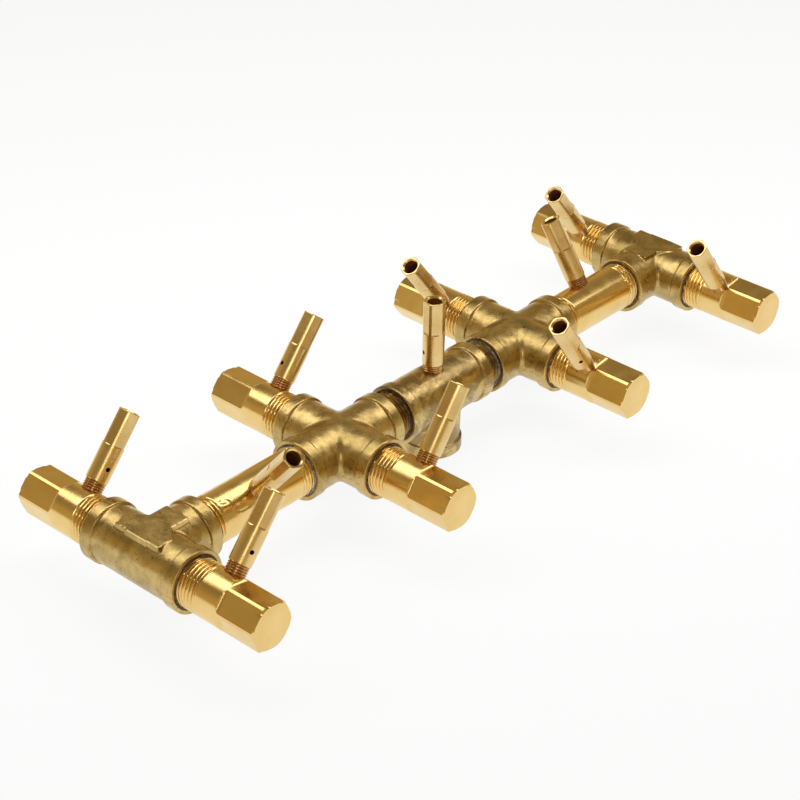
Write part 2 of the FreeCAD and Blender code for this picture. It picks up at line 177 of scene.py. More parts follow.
def milled_radius(x, angles, across, start, cutter):
    """Distance from the axis to the milled flats; the cutter leaves a curved run-out."""
    inward = max(start - x, 0.0)
    if inward >= cutter:
        return np.full(angles.shape, 1e3)
    face = across / 2 + cutter - math.sqrt(cutter ** 2 - inward ** 2)
    nearest = np.mod(angles + math.radians(30), HEX) - math.radians(30)
    return face / np.cos(nearest)


def finish_piece(piece, material, slot_name, *replaced):
    """Gives a piece its finish and its body, and hides the CAD nodes that it stands for."""
    if not piece.data.materials:
        piece.data.materials.append(material)
    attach(piece, "root")
    if replaced:
        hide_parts(*replaced)
    return piece


# %% [markdown]
# ## Brass
#
# Clean brass takes its look from what it mirrors, so each finish is mostly a metal
# with the right roughness and fine relief. Turned brass has faint rings from the
# lathe, so its relief runs around the X axis that the piece was drawn on. Forged
# fittings are darker: they are tumbled, then tarnish brown and olive in patches, and
# they stay brighter where hands and wrenches rub them.

# %% Material helpers
def new_material(name):
    material = bpy.data.materials.new(name)
    material.use_nodes = True
    tree = material.node_tree
    return material, tree, tree.nodes["Principled BSDF"]


def add_node(tree, kind, **values):
    """A shader node with its sockets set by name."""
    node = tree.nodes.new(kind)
    for key, value in values.items():
        socket = key.replace("_", " ")
        if socket in node.inputs:
            node.inputs[socket].default_value = value
        else:
            setattr(node, key, value)
    return node


def stretched(tree, scale):
    """Object coordinates in metres, scaled differently along each axis."""
    place = tree.nodes.new("ShaderNodeTexCoord")
    mapping = tree.nodes.new("ShaderNodeMapping")
    mapping.inputs["Scale"].default_value = scale
    tree.links.new(place.outputs["Object"], mapping.inputs["Vector"])
    return mapping.outputs["Vector"]


def noise(tree, scale, detail=4.0, roughness=0.55, vector=None, distortion=0.0):
    node = add_node(tree, "ShaderNodeTexNoise", Scale=scale, Detail=detail,
                    Roughness=roughness, Distortion=distortion)
    if vector is not None:
        tree.links.new(vector, node.inputs["Vector"])
    return node.outputs["Fac"]


def remap(tree, value, low, high, new_low=0.0, new_high=1.0):
    node = add_node(tree, "ShaderNodeMapRange")
    limits = {"From Min": low, "From Max": high, "To Min": new_low, "To Max": new_high}
    for socket, number in limits.items():
        node.inputs[socket].default_value = number
    tree.links.new(value, node.inputs["Value"])
    return node.outputs["Result"]


def mix_colour(tree, factor, first, second):
    node = tree.nodes.new("ShaderNodeMix")
    node.data_type = "RGBA"
    tree.links.new(factor, node.inputs["Factor"])
    for index, colour in ((6, first), (7, second)):
        if isinstance(colour, tuple):
            node.inputs[index].default_value = colour + (1.0,)
        else:
            tree.links.new(colour, node.inputs[index])
    return node.outputs[2]


def relief(tree, height, strength, distance, before=None):
    node = add_node(tree, "ShaderNodeBump", Strength=strength, Distance=distance)
    tree.links.new(height, node.inputs["Height"])
    if before is not None:
        tree.links.new(before, node.inputs["Normal"])
    return node.outputs["Normal"]


# %% Turned brass for the pipe pieces and the jets
def turned_brass(name, bright, shade, roughness, line_scale):
    material, tree, shader = new_material(name)
    broad = noise(tree, 1.0, 3.0, vector=stretched(tree, (60, 60, 60)))
    colour = mix_colour(tree, remap(tree, broad, 0.35, 0.7), bright, shade)
    spots = noise(tree, 1.0, 5.0, 0.7, vector=stretched(tree, (420, 420, 420)))
    stain = tuple(0.45 * c for c in shade)
    stained = mix_colour(tree, remap(tree, spots, 0.66, 0.74), colour, stain)
    tree.links.new(stained, shader.inputs["Base Color"])
    shader.inputs["Metallic"].default_value = 1.0
    wear = noise(tree, 1.0, 4.0, vector=stretched(tree, (180, 90, 90)))
    worn = remap(tree, wear, 0.3, 0.75, roughness * 0.8, roughness * 1.35)
    tree.links.new(worn, shader.inputs["Roughness"])
    lines = noise(tree, 1.0, 2.0, vector=stretched(tree, (line_scale, 12, 12)))
    rings = relief(tree, lines, 0.22, 0.00005)
    pits = noise(tree, 1.0, 4.0, 0.6, vector=stretched(tree, (900, 900, 900)))
    tree.links.new(relief(tree, pits, 0.08, 0.00004, rings), shader.inputs["Normal"])
    return material


# painted shade: this darker brass stands in for the shade in the narrow gaps between fittings,
# where the close nipples sit
GAP_SHADE_BRASS = turned_brass("gap_shade_thread_brass", (0.42, 0.27, 0.10), (0.20, 0.11, 0.04),
                          0.3, 3600)
PIPE_BRASS = turned_brass("pipe_brass", (0.86, 0.62, 0.25), (0.80, 0.55, 0.20), 0.2, 3600)
JET_BRASS = turned_brass("jet_brass", (0.82, 0.61, 0.27), (0.70, 0.48, 0.19), 0.24, 4200)
STEM_BRASS = turned_brass("stem_brass", (0.62, 0.38, 0.16), (0.36, 0.18, 0.08), 0.26, 3600)


# %% Tarnished brass for the forged fittings
def forged_brass(name, clean, tarnished, grime, tarnish_from, tarnish_to):
    """Forged skin: patches of tarnish, dark specks, and a fine orange-peel relief."""
    material, tree, shader = new_material(name)
    patches = noise(tree, 1.0, 6.0, 0.62, vector=stretched(tree, (95, 95, 95)), distortion=0.6)
    colour = mix_colour(tree, remap(tree, patches, tarnish_from, tarnish_to), tarnished, clean)
    speckle = noise(tree, 1.0, 5.0, 0.7, vector=stretched(tree, (620, 620, 620)))
    colour = mix_colour(tree, remap(tree, speckle, 0.57, 0.72), colour, grime)
    tree.links.new(colour, shader.inputs["Base Color"])
    shader.inputs["Metallic"].default_value = 1.0
    wear = noise(tree, 1.0, 5.0, 0.6, vector=stretched(tree, (260, 260, 260)))
    tree.links.new(remap(tree, wear, 0.3, 0.7, 0.22, 0.38), shader.inputs["Roughness"])
    lumps = noise(tree, 1.0, 3.0, vector=stretched(tree, (240, 240, 240)))
    soft = relief(tree, lumps, 0.3, 0.0003)
    grain = noise(tree, 1.0, 5.0, 0.65, vector=stretched(tree, (1300, 1300, 1300)))
    tree.links.new(relief(tree, grain, 0.3, 0.00008, soft), shader.inputs["Normal"])
    return material


FORGED_BRASS = forged_brass("forged_brass", (0.64, 0.46, 0.18), (0.42, 0.30, 0.11),
                            (0.18, 0.11, 0.045), 0.4, 0.62)
ROUGH_BRASS = forged_brass("rough_forged_brass", (0.66, 0.48, 0.20), (0.34, 0.24, 0.10),
                           (0.14, 0.085, 0.035), 0.44, 0.58)


# %% Brass inside the jets
def bore_painted_reflection(name):
    """Unpolished drilled brass with a painted dark red-brown reflection of light bounced around
    inside the bore, so the bore reads dark and warm.
    """
    material, tree, shader = new_material(name)
    streaks = noise(tree, 1.0, 3.0, vector=stretched(tree, (900, 200, 200)))
    # painted reflection: brown and orange stand in for the warm light bounced between the bore's
    # walls
    brown, orange = (0.20, 0.055, 0.014), (0.42, 0.16, 0.045)
    colour = mix_colour(tree, remap(tree, streaks, 0.35, 0.65), brown, orange)
    tree.links.new(colour, shader.inputs["Base Color"])
    shader.inputs["Metallic"].default_value = 0.5
    tree.links.new(remap(tree, streaks, 0.3, 0.7, 0.4, 0.6), shader.inputs["Roughness"])
    tree.links.new(relief(tree, streaks, 0.2, 0.0001), shader.inputs["Normal"])
    return material


BORE_PAINTED_REFLECTION = bore_painted_reflection("bore_painted_reflection")


# %% Set thread sealant
def sealant_paste(name, dark, pale):
    material, tree, shader = new_material(name)
    blotches = noise(tree, 1.0, 5.0, 0.6, vector=stretched(tree, (500, 500, 500)))
    colour = mix_colour(tree, remap(tree, blotches, 0.4, 0.65), dark, pale)
    tree.links.new(colour, shader.inputs["Base Color"])
    shader.inputs["Roughness"].default_value = 0.5
    tree.links.new(relief(tree, blotches, 0.5, 0.0003), shader.inputs["Normal"])
    return material


BROWN_PASTE = sealant_paste("brown_paste", (0.045, 0.03, 0.018), (0.22, 0.15, 0.07))
GREY_PASTE = sealant_paste("grey_paste", (0.10, 0.10, 0.11), (0.50, 0.49, 0.46))
print("materials:", [m.name for m in bpy.data.materials if m.users])

# %% [markdown]
# ## Closed arms
#
# An arm is a length of solid bar: pipe thread at the inner end, a bored-out middle,
# six spanner flats at the outer end and a small bevel around the closed face. A
# milling cutter makes the flats, so each one ends in a shallow curved crescent.
# The jet's hole lies under its stem, so the outside is drawn whole there.

# %% Arm mesh
ARM_FLATS = 19.05
ARM_FLAT_LENGTH = 18.0
ARM_BEVEL = 0.55
ARM_FLOOR = 8.0
PIPE_THREAD_DEPTH = 0.95


def arm_mesh(name, matrix, length, flat_turn):
    half_flat = math.acos(ARM_FLATS / 2 / PIPE_R)
    angles = hex_columns(half_flat, 32, 4)
    thread_end = PIPE_PITCH * 12.2
    flat_start = length - ARM_FLAT_LENGTH
    cutter = 2.2
    hidden = [0.0, 3.0, ENGAGED - 2 * PIPE_PITCH]
    threads = np.arange(hidden[-1] + 0.2, thread_end + 0.3, PIPE_PITCH / 9)
    plain = np.linspace(thread_end + 0.6, flat_start - cutter - 0.1, 8)
    runout = np.linspace(flat_start - cutter, flat_start, 23)
    flats = np.linspace(flat_start + 0.4, length - ARM_BEVEL, 6)
    bore_end = length - ARM_FLOOR
    turned = angles + flat_turn
    rings = [ring(bore_end, PIPE_BORE_R, turned), ring(0.0, PIPE_BORE_R, turned)]
    for x in np.concatenate([hidden, threads, plain, runout, flats]):
        radius = PIPE_R - thread_cut(x, angles, 0, thread_end, PIPE_PITCH, PIPE_THREAD_DEPTH)
        radius = np.minimum(radius, milled_radius(x, angles, ARM_FLATS, flat_start, cutter))
        rings.append(ring(x, radius, turned))
    rim = np.minimum(PIPE_R, milled_radius(length, angles, ARM_FLATS, flat_start, cutter))
    rim = np.minimum(rim, PIPE_R - 0.95)
    rings.append(ring(length, rim, turned))
    rings.append(ring(length, rim * 0.97, turned))
    return ring_piece(name, rings, matrix)


# %% Directions taken from the CAD jets
def jet_line(node):
    """Foot, tip and direction of a CAD jet, worked out from its own mesh."""
    mesh = nodes[node].data
    points = np.array([v.co for v in mesh.vertices]) / MM
    rough = np.linalg.svd(points - points.mean(axis=0), full_matrices=False)[2][0]
    rough = rough if rough[2] > 0 else -rough
    # the flat face around the mouth looks exactly along the jet
    ends = [p for p in mesh.polygons if np.dot(p.normal, rough) > 0.99]
    facing = sum((np.array(p.normal) * p.area for p in ends), np.zeros(3))
    axis = facing / np.linalg.norm(facing)
    side = np.cross(axis, [0.3, 0.5, 0.8])
    side /= np.linalg.norm(side)
    middle = np.zeros(3)
    for direction in (side, np.cross(axis, side)):
        across = points @ direction
        middle += direction * (across.max() + across.min()) / 2
    along = points @ axis
    return middle + axis * along.min(), middle + axis * along.max(), axis


for name in ("jet_centre", "jet_front_tee_left", "jet_nipple_front"):
    foot, tip, axis = jet_line(name)
    print(name, np.round(foot, 2), np.round(tip, 2), np.round(axis, 3))

# %% Place the arms
# a corner between two flats lies in line with the arm's jet
ARM_STATIONS = [end + "_" + hand for end in ("front_tee", "front_cross", "rear_cross", "rear_tee")
                for hand in ("left", "right")]
for station in ARM_STATIONS:
    low, high = node_box("arm_" + station)
    middle = (low + high) / 2
    hand = 1 if middle[1] > 0 else -1
    inner = low[1] if hand > 0 else high[1]
    jet_axis = jet_line("jet_" + station)[2]
    # local Y is along the spine, so this turns the flats with the jet and the box stays square
    flat_turn = math.atan2(jet_axis[2], -hand * jet_axis[0]) - math.pi / 2
    matrix = frame_matrix((middle[0], inner, middle[2]), (0, hand, 0), (0, 0, 1))
    piece = arm_mesh("closed_arm_" + station, matrix, high[1] - low[1], flat_turn)
    finish_piece(piece, PIPE_BRASS, "pipe_brass", "arm_" + station)
print("arms placed:", len(ARM_STATIONS))

# %% [markdown]
# ## Nipples
#
# The long nipples are pipe, threaded from both ends. They were held in a pipe wrench
# near the end tees, so there are a few long jaw marks there. The close nipples
# are thread from end to end, and only a few turns of them show.

# %% Nipple mesh
def nipple_mesh(name, matrix, length, thread_length, bites=()):
    angles = np.linspace(0, 2 * math.pi, 144, endpoint=False)
    step = PIPE_PITCH / 9
    hidden = ENGAGED - 2 * PIPE_PITCH
    if thread_length * 2 < length:
        near = np.arange(hidden, thread_length + 0.4, step)
        plain = np.arange(near[-1] + 0.4, length - thread_length - 0.6, 0.4)
        far = length - near[::-1]
        stations = np.concatenate([[0.0], near, plain, far, [length]])
    else:
        stations = np.concatenate([[0.0], np.arange(hidden, length - hidden, step), [length]])
    rings = [ring(length, PIPE_BORE_R, angles), ring(0.0, PIPE_BORE_R, angles)]
    for x in stations:
        cut = thread_cut(x, angles, -5, min(thread_length, length), PIPE_PITCH, PIPE_THREAD_DEPTH)
        cut = np.maximum(cut, thread_cut(length - x, -angles, -5, min(thread_length, length),
                                         PIPE_PITCH, PIPE_THREAD_DEPTH))
        radius = PIPE_R - cut
        for bite in bites:
            radius = radius + bite(x, angles)
        rings.append(ring(x, radius, angles))
    rings.append(ring(length, PIPE_BORE_R, angles))
    return make_object_open(name, rings, matrix)


def make_object_open(name, rings, matrix):
    """A tube: its last ring closes onto its first, with no end caps."""
    rings = np.array(rings)
    count, columns = rings.shape[:2]
    faces = ring_faces(count, columns)[:(count - 1) * columns]
    piece = make_object(name, rings.reshape(-1, 3), faces, matrix)
    welded = bmesh.new()
    welded.from_mesh(piece.data)
    bmesh.ops.remove_doubles(welded, verts=welded.verts, dist=1e-7)
    bmesh.ops.recalc_face_normals(welded, faces=welded.faces)
    welded.to_mesh(piece.data)
    welded.free()
    piece.data.set_sharp_from_angle(angle=math.radians(SHARP_DEGREES))
    return piece


def jaw_marks(marks):
    """Long shallow loops left by a wrench jaw: a pressed oval with a raised lip.

    Each mark is its place along the pipe and around it, its slant, length, width
    and depth; angles are in degrees and sizes in millimetres.
    """
    def change(x, angles):
        total = np.zeros(angles.shape)
        for place, turn, slant, length, width, depth in marks:
            turned_by = np.mod(angles - math.radians(turn) + math.pi, 2 * math.pi) - math.pi
            around_mm = turned_by * PIPE_R
            lean = math.radians(slant)
            u = (x - place) * math.cos(lean) + around_mm * math.sin(lean)
            v = around_mm * math.cos(lean) - (x - place) * math.sin(lean)
            out = np.hypot(u / (length / 2), v / (width / 2))
            loop = np.exp(-((out - 0.8) / 0.2) ** 2)
            lip = np.exp(-((out - 1.25) / 0.16) ** 2)
            total += depth * (0.3 * lip - loop)
        return total
    return change


# %% Place the nipples
# place along, turn, slant, length, width, depth
MARKS_FRONT = [(27.5, 146, 8, 9.0, 3.4, 0.20), (21.0, 118, 15, 5.5, 2.2, 0.12)]
MARKS_REAR = [(57.0, 140, 10, 8.0, 3.0, 0.18)]
NIPPLE_MARKS = {
    "nipple_front": [jaw_marks(MARKS_FRONT)], "nipple_rear": [jaw_marks(MARKS_REAR)],
    "close_nipple_front": [], "close_nipple_rear": [],
}
for label, bites in NIPPLE_MARKS.items():
    low, high = node_box(label)
    matrix = frame_matrix((low[0], 0, SPINE_Z), (1, 0, 0), (0, 0, 1))
    whole = high[0] - low[0]
    close = label.startswith("close")
    threaded = whole if close else ENGAGED + 3.2 * PIPE_PITCH
    piece = nipple_mesh("spine_" + label, matrix, whole, threaded, bites)
    # the close nipples take the painted shade of their narrow gaps
    finish_piece(piece, GAP_SHADE_BRASS if close else PIPE_BRASS, "pipe_brass", label)
print("nipples placed")

# %% [markdown]
# ## Jets
#
# Each jet is turned from bar: a small threaded stem, a round body, six light flats
# near the mouth and a wide bore with a bevelled rim. A small hole in its side lets
# air in. That hole is the one shape that rings can't make, so it is cut with a
# Boolean, where the body is round and the mesh around it is plain.

# %% Jet mesh
JET_STEM = 6.9
JET_LENGTH = 37.3
JET_R = 4.75
JET_STEM_R = 4.45
JET_PITCH = 1.058
JET_FLATS = 8.8
JET_FLAT_LENGTH = 14.4
AIR_HOLE_R = 0.95
AIR_HOLE_HEIGHT = 6.0


def jet_mesh(name, matrix, flat_turn):
    half_flat = math.acos(JET_FLATS / 2 / JET_R)
    angles = hex_columns(half_flat, 14, 3)
    passage = [(0, 2.0), (4.4, 2.0), (4.4, 0.6), (6.0, 0.6), (8.5, 3.1), (20, 3.1), (30, 3.1),
               (JET_LENGTH - 0.65, 3.1), (JET_LENGTH - 0.12, 3.6), (JET_LENGTH, 3.75)]
    turn = math.radians(flat_turn)
    rings = [ring(x, radius, angles + turn) for x, radius in passage]
    flat_start = JET_LENGTH - JET_FLAT_LENGTH
    cutter = 1.1
    edge = 0.28
    outer = np.concatenate([
        [JET_LENGTH - edge, JET_LENGTH - 2.5, JET_LENGTH - 6, flat_start + 3, flat_start + 0.3],
        np.linspace(flat_start, flat_start - cutter, 13),
        np.arange(flat_start - cutter - 0.5, JET_STEM + edge, -0.5),
        [JET_STEM + edge],
    ])
    rim = np.minimum(JET_R, milled_radius(JET_LENGTH, angles, JET_FLATS, flat_start, cutter))
    rings.append(ring(JET_LENGTH, rim - edge, angles + turn))
    rings.append(ring(JET_LENGTH - edge * 0.35, rim - edge * 0.3, angles + turn))
    for x in outer:
        radius = np.minimum(JET_R, milled_radius(x, angles, JET_FLATS, flat_start, cutter))
        rings.append(ring(x, radius, angles + turn))
    rings.append(ring(JET_STEM, JET_R - edge, angles + turn))
    rings.append(ring(JET_STEM, JET_STEM_R - 0.4, angles + turn))
    for x in np.arange(JET_STEM - 0.05, 0.3, -JET_PITCH / 8):
        cut = thread_cut(x, angles, -5, JET_STEM + 0.3, JET_PITCH, 0.55, 0.5)
        rings.append(ring(x, JET_STEM_R - cut, angles + turn))
    rings.append(ring(0, JET_STEM_R - 0.5, angles + turn))
    rings.append(rings[0])
    piece = make_object_open(name, rings, matrix)
    piece.data.materials.append(JET_BRASS)
    # slot 1 is the bore, with its painted reflection
    piece.data.materials.append(BORE_PAINTED_REFLECTION)
    piece.data.materials.append(STEM_BRASS)
    for face in piece.data.polygons:
        middle = face.center / MM
        if middle.x < JET_STEM - 0.02:
            face.material_index = 2
        if middle.x < JET_LENGTH - 1.2 and math.hypot(middle.y, middle.z) < 3.2 and middle.x > 4:
            face.material_index = 1
    return piece


def drill_air_hole(piece, toward):
    """Cuts the air hole through one wall; toward is its angle around the jet."""
    steps = 40
    x = JET_STEM + AIR_HOLE_HEIGHT
    points = []
    for reach in (1.6, 6.2):
        for k in range(steps):
            a = 2 * math.pi * k / steps
            points.append((x + AIR_HOLE_R * math.cos(a), AIR_HOLE_R * math.sin(a), reach))
    faces = [(k, (k + 1) % steps, steps + (k + 1) % steps, steps + k) for k in range(steps)]
    faces += [tuple(reversed(range(steps))), tuple(range(steps, 2 * steps))]
    spin = Matrix.Rotation(toward, 4, "X")
    drill = make_object("air_hole_drill", points, faces, piece.matrix_world @ spin)
    cut = piece.modifiers.new("air_hole", "BOOLEAN")
    cut.operation = "DIFFERENCE"
    cut.solver = "EXACT"
    cut.object = drill
    bpy.context.view_layer.update()
    evaluated = piece.evaluated_get(bpy.context.evaluated_depsgraph_get())
    mesh = bpy.data.meshes.new_from_object(evaluated)
    piece.modifiers.clear()
    plain, piece.data = piece.data, mesh
    bpy.data.meshes.remove(plain)
    bpy.data.objects.remove(drill)
    mesh.shade_smooth()
    mesh.set_sharp_from_angle(angle=math.radians(SHARP_DEGREES))


# %% Place the jets
# air hole, then the middle of a round strip, both as degrees around the jet
JET_TURNS = {
    "front_tee_left": (-20, -49), "front_tee_right": (-23, -59),
    "front_cross_left": (-104, -56), "front_cross_right": (103, -57),
    "rear_cross_left": (139, -21), "rear_cross_right": (-34, -28),
    "rear_tee_left": (133, -27), "rear_tee_right": (127, -33),
    "nipple_front": (-111, 39), "nipple_rear": (-156, 30), "centre": (-112, -69),
}
for label, (air_turn, strip_turn) in JET_TURNS.items():
    foot, tip, axis = jet_line("jet_" + label)
    start = Vector((-1, 0, 0)) if label.startswith("nipple") else Vector((0, -1, 0))
    matrix = frame_matrix(foot, axis, start)
    # the ring angles run from local Y toward Z, and a strip's middle is 30 degrees from a flat's
    piece = jet_mesh("burner_jet_" + label, matrix, 90 + strip_turn + 30)
    drill_air_hole(piece, math.radians(air_turn))
    finish_piece(piece, JET_BRASS, "jet_brass", "jet_" + label)
print("jets placed:", len(JET_TURNS))

# %% [markdown]
# ## Fittings
#
# A tee or cross is forged, so its branches flow into each other in soft fillets,
# while its collars and sockets are crisper. Joining cylinders with Booleans would
# leave hard creases there. Instead the metal is described by its distance field,
# where two shapes can be blended smoothly, and a mesh is then laid on its surface.

# %% Distance fields
def blend_union(a, b, k):
    """Joins two distance fields with a fillet of about k."""
    h = np.clip(0.5 + 0.5 * (b - a) / k, 0, 1)
    return b * (1 - h) + a * h - k * h * (1 - h)


def soft_noise(points, size, seed):
    """Smooth random lumps from a lattice of random numbers."""
    lattice = np.random.default_rng(seed).uniform(-1, 1, (24, 24, 24))
    scaled = points / size + 11.5
    base = np.floor(scaled).astype(int)
    part = scaled - base
    part = part * part * (3 - 2 * part)
    total = np.zeros(points.shape[:-1])
    for corner in np.ndindex(2, 2, 2):
        index = np.mod(base + corner, 24)
        weight = np.ones(points.shape[:-1])
        for i in range(3):
            weight = weight * (part[..., i] if corner[i] else 1 - part[..., i])
        total += weight * lattice[index[..., 0], index[..., 1], index[..., 2]]
    return total


def port_parts(points, direction):
    """Distance along one port and distance from its axis."""
    along = points @ np.array(direction, float)
    across = np.linalg.norm(points - along[..., None] * np.array(direction, float), axis=-1)
    return along, across


# %% Fitting shape
FITTING_R = 12.6
COLLAR_R = 13.45
COLLAR_WIDTH = 5.6
COLLAR_BEVEL = 0.9
MOUTH_BEVEL = 1.0
CORE_R = 9.0
SOCKET_DEPTH = 14.0
PAD = {"top": 12.75, "back": 6.6, "half_length": 12.3, "half_width": 6.2, "front": 15.0}


def pad_field(points, seed):
    """The flat T-shaped land on top of a tee, whose branch points along +Y."""
    x, y, z = points[..., 0], points[..., 1], points[..., 2]
    wobble = 0.35 * soft_noise(points * np.array([1, 1, 0.05]), 3.5, seed)
    run = np.maximum(np.abs(x) - PAD["half_length"] + wobble, -(y + PAD["back"]) + wobble)
    run = np.maximum(run, y - PAD["half_width"] + (np.abs(x) - PAD["half_width"]) * 0.9)
    stem = np.maximum(np.abs(x) - PAD["half_width"] + wobble, np.abs(y - 4) - (PAD["front"] - 4))
    outline = np.minimum(run, stem)
    return np.maximum(np.maximum(outline - 0.12 * (PAD["top"] - z), z - PAD["top"]), -z)


def fitting_field(points, ports, seed, padded, fillet, jet_tap, threaded_port, fine=True):
    """Distance to one fitting; the forging's lumps are left out unless fine."""
    across_run = port_parts(points, (1, 0, 0))[1]
    along_branch, across_branch = port_parts(points, (0, 1, 0))
    branch = across_branch - FITTING_R
    if (0, -1, 0) not in ports:
        branch = np.maximum(branch, -along_branch)
    # where the two walls are parallel, on top, there is nothing to fill
    parallel = points[..., 2] ** 2 / np.maximum(across_run * across_branch, 1.0)
    width = fillet * (0.15 + 0.85 * np.clip(1 - parallel, 0, 1))
    metal = blend_union(across_run - FITTING_R, branch, width)
    if fine:
        metal = metal + 0.10 * soft_noise(points, 7.0, seed)
        metal = metal + 0.05 * soft_noise(points, 2.6, seed + 1)
    if padded:
        metal = blend_union(metal, pad_field(points, seed + 2), 0.25)
    for direction in ports:
        along, across = port_parts(points, direction)
        middle = REACH - COLLAR_WIDTH / 2
        half = COLLAR_WIDTH / 2 - COLLAR_BEVEL / 2
        sideways = np.abs(along - middle) - half
        outward = across - (COLLAR_R - COLLAR_BEVEL / 2)
        outside = np.hypot(np.maximum(sideways, 0), np.maximum(outward, 0))
        collar = outside + np.minimum(np.maximum(sideways, outward), 0) - COLLAR_BEVEL / 2
        metal = blend_union(metal, collar, 0.35)
    for direction in ports:
        along, across = port_parts(points, direction)
        metal = np.maximum(metal, along - REACH)
        bevel = (across - SOCKET_R + (REACH - along) - MOUTH_BEVEL) / math.sqrt(2)
        socket_radius = SOCKET_R
        if direction == threaded_port:
            angle = np.arctan2(points[..., 2], points[..., 0])
            phase = np.mod(along / PIPE_PITCH - angle / (2 * math.pi), 1.0)
            socket_radius = SOCKET_R - 0.9 * (1 - np.abs(2 * phase - 1))
        socket = np.maximum(across - socket_radius, (REACH - SOCKET_DEPTH) - along)
        core = np.maximum(across - CORE_R, -along)
        hollow = np.minimum(np.minimum(bevel, socket), core)
        metal = np.maximum(metal, -hollow)
    if jet_tap:
        along, across = port_parts(points, jet_tap)
        metal = np.maximum(metal, -np.maximum(across - JET_STEM_R, -along))
    return metal


# %% Mesh on a distance field
def surface_net(field, low, step):
    """One point in every grid cell that the surface crosses, joined into quads."""
    cells = tuple(n - 1 for n in field.shape)
    total = np.zeros((3,) + cells)
    count = np.zeros(cells)
    loops = []
    for axis in range(3):
        first = np.moveaxis(field, axis, 0)[:-1]
        second = np.moveaxis(field, axis, 0)[1:]
        index = np.argwhere((first < 0) != (second < 0))
        a, b = first[tuple(index.T)], second[tuple(index.T)]
        order = [1, 2]
        order.insert(axis, 0)
        index = index[:, order]
        point = index.astype(float)
        point[:, axis] += a / (a - b)
        u, v = (axis + 1) % 3, (axis + 2) % 3
        quad = []
        for du, dv in ((0, 0), (-1, 0), (-1, -1), (0, -1)):
            cell = index.copy()
            cell[:, u] += du
            cell[:, v] += dv
            quad.append(np.ravel_multi_index(tuple(cell.T), cells))
            for i in range(3):
                np.add.at(total[i], tuple(cell.T), point[:, i])
            np.add.at(count, tuple(cell.T), 1)
        quad = np.stack(quad, axis=1)
        quad[a > 0] = quad[a > 0][:, ::-1]
        loops.append(quad)
    used = np.flatnonzero(count.ravel())
    points = (total.reshape(3, -1)[:, used] / count.ravel()[used]).T * step + low
    number = np.full(count.size, -1)
    number[used] = np.arange(len(used))
    return points, number[np.concatenate(loops)]


def settle(points, distance):
    """Moves mesh points onto the surface of a distance field."""
    slope = np.zeros_like(points)
    for i in range(3):
        shift = np.zeros(3)
        shift[i] = 0.02
        slope[:, i] = (distance(points + shift) - distance(points - shift)) / 0.04
    slope /= np.maximum((slope ** 2).sum(axis=1), 0.25)[:, None]
    for _ in range(3):
        points = points - slope * np.clip(distance(points), -0.15, 0.15)[:, None]
    return points


def mesh_field(name, distance, low, high, step, matrix):
    axes = [np.arange(a - 1.5 * step, b + 1.6 * step, step) for a, b in zip(low, high)]
    grid = np.stack(np.meshgrid(*axes, indexing="ij"), axis=-1)
    points, faces = surface_net(distance(grid, False), np.array([a[0] for a in axes]), step)
    points = np.clip(settle(points, distance), low, high)
    return make_object(name, points, [tuple(int(i) for i in face) for face in faces], matrix, 40)


# %% Place the fittings
CELL = 0.4
TEE_PORTS = ((1, 0, 0), (-1, 0, 0), (0, 1, 0))
CROSS_PORTS = TEE_PORTS + ((0, -1, 0),)
FITTINGS = [
    # name, local ports, the fitting's own X and Z in the frame, has a pad, fillet, seed
    ("front_tee", TEE_PORTS, (0, -1, 0), (0, 0, 1), True, 2.4, 11),
    ("front_cross", CROSS_PORTS, (1, 0, 0), (0, 0, 1), False, 2.6, 22),
    ("centre_tee", TEE_PORTS, (1, 0, 0), (0, 1, 0), False, 2.4, 33),
    ("rear_cross", CROSS_PORTS, (1, 0, 0), (0, 0, 1), False, 2.6, 44),
    ("rear_tee", TEE_PORTS, (0, 1, 0), (0, 0, 1), True, 2.4, 55),
]


def fitting_centre_x(name):
    """Where a fitting's port axes cross; an end tee's box reaches further inward."""
    low, high = node_box(name)
    if name == "front_tee":
        return low[0] + COLLAR_R
    if name == "rear_tee":
        return high[0] - COLLAR_R
    return (low[0] + high[0]) / 2


for name, ports, along, up, padded, fillet, seed in FITTINGS:
    inlet = name == "centre_tee"

    def distance(points, fine=True):
        return fitting_field(points, ports, seed, padded, fillet,
                             (0, -1, 0) if inlet else None, (0, 1, 0) if inlet else None, fine)

    low = np.array([-REACH, -REACH if (0, -1, 0) in ports else -COLLAR_R, -COLLAR_R])
    high = np.array([REACH, REACH, COLLAR_R])
    matrix = frame_matrix((fitting_centre_x(name), 0, SPINE_Z), along, up)
    piece = mesh_field("forged_" + name, distance, low, high, CELL, matrix)
    finish_piece(piece, ROUGH_BRASS if inlet else FORGED_BRASS, "cast_brass", name)
    print(name, "faces:", len(piece.data.polygons))

# %% [markdown]
# ## Thread sealant
#
# The joints were made up with sealant paste. A little of it stands in the mouth of
# each port, uneven where it was wiped.

